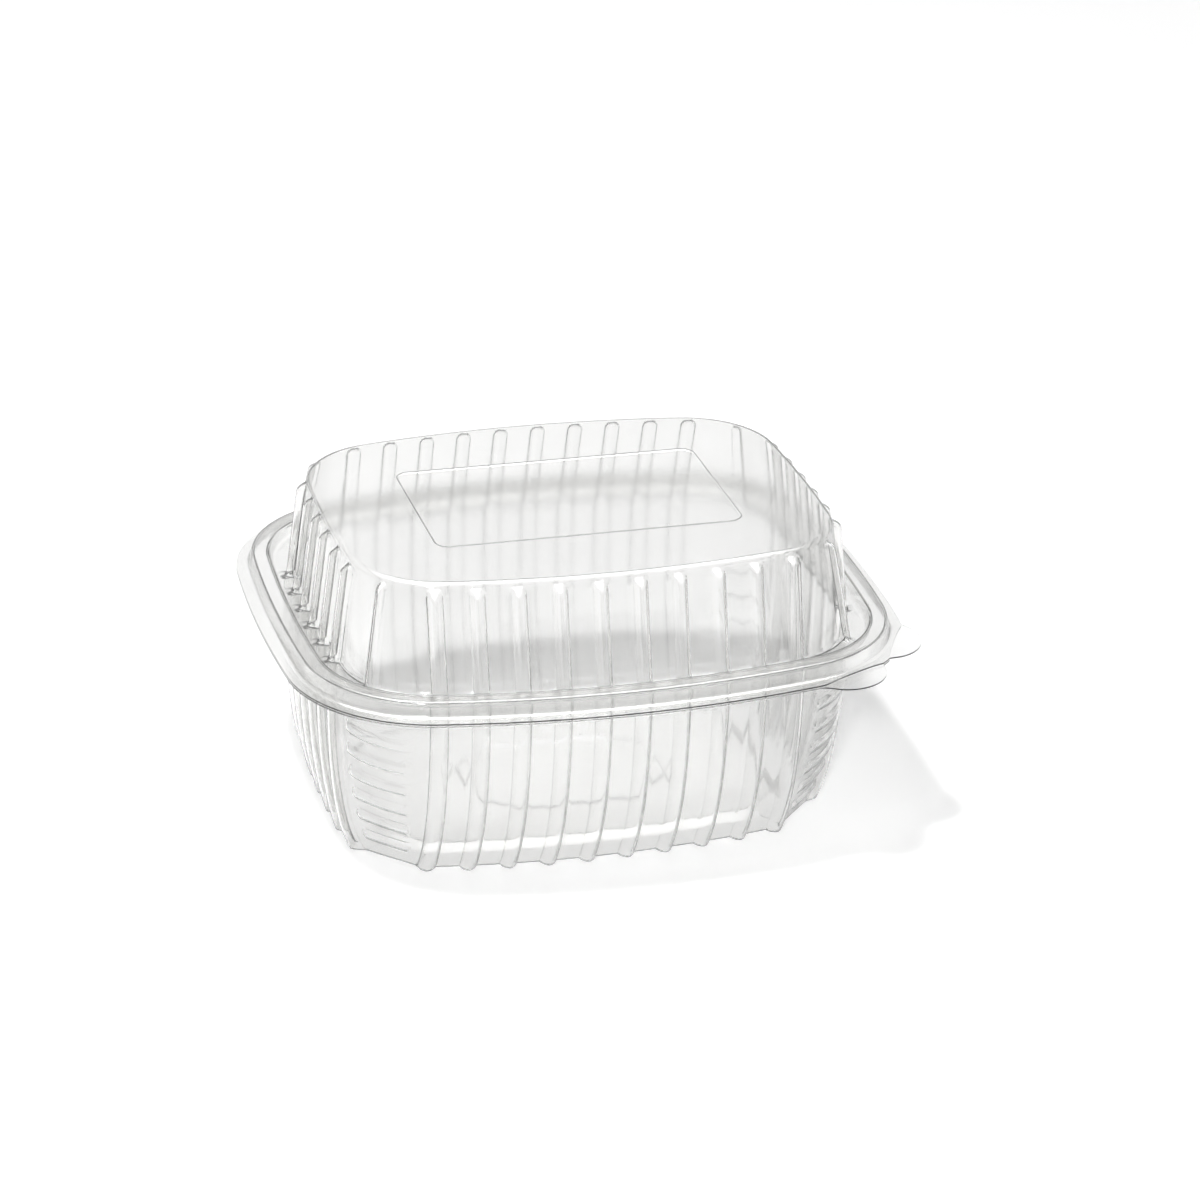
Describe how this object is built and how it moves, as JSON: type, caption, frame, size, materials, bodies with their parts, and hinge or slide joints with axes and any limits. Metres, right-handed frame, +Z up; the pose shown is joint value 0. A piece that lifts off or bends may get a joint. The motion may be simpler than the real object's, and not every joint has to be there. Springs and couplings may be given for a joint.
{
  "type": "plastic tub with lid",
  "caption": "Clear thermoformed takeaway tub with ribbed walls and a domed lid that swings on a hinge along the back rim.",
  "frame": {"origin": "the middle of the whole outline, tabs and hinge lips included, on the surface the tub stands on", "axes": "+X along the long sides, towards the finger tabs, +Y towards the hinge, +Z up"},
  "size_m": [0.183, 0.1592, 0.0914],
  "materials": {
    "clear_sheet": "clear gloss plastic sheet"
  },
  "bodies": {
    "tub": {"tub": "clear_sheet"},
    "lid": {"lid": "clear_sheet"}
  },
  "joints": [
    {"name": "lid_hinge", "type": "hinge", "parent": "tub", "child": "lid", "pos_m": [0, 0.07975, 0.05985], "axis": [-1, 0, 0], "range_deg": [0, 180]}
  ]
}
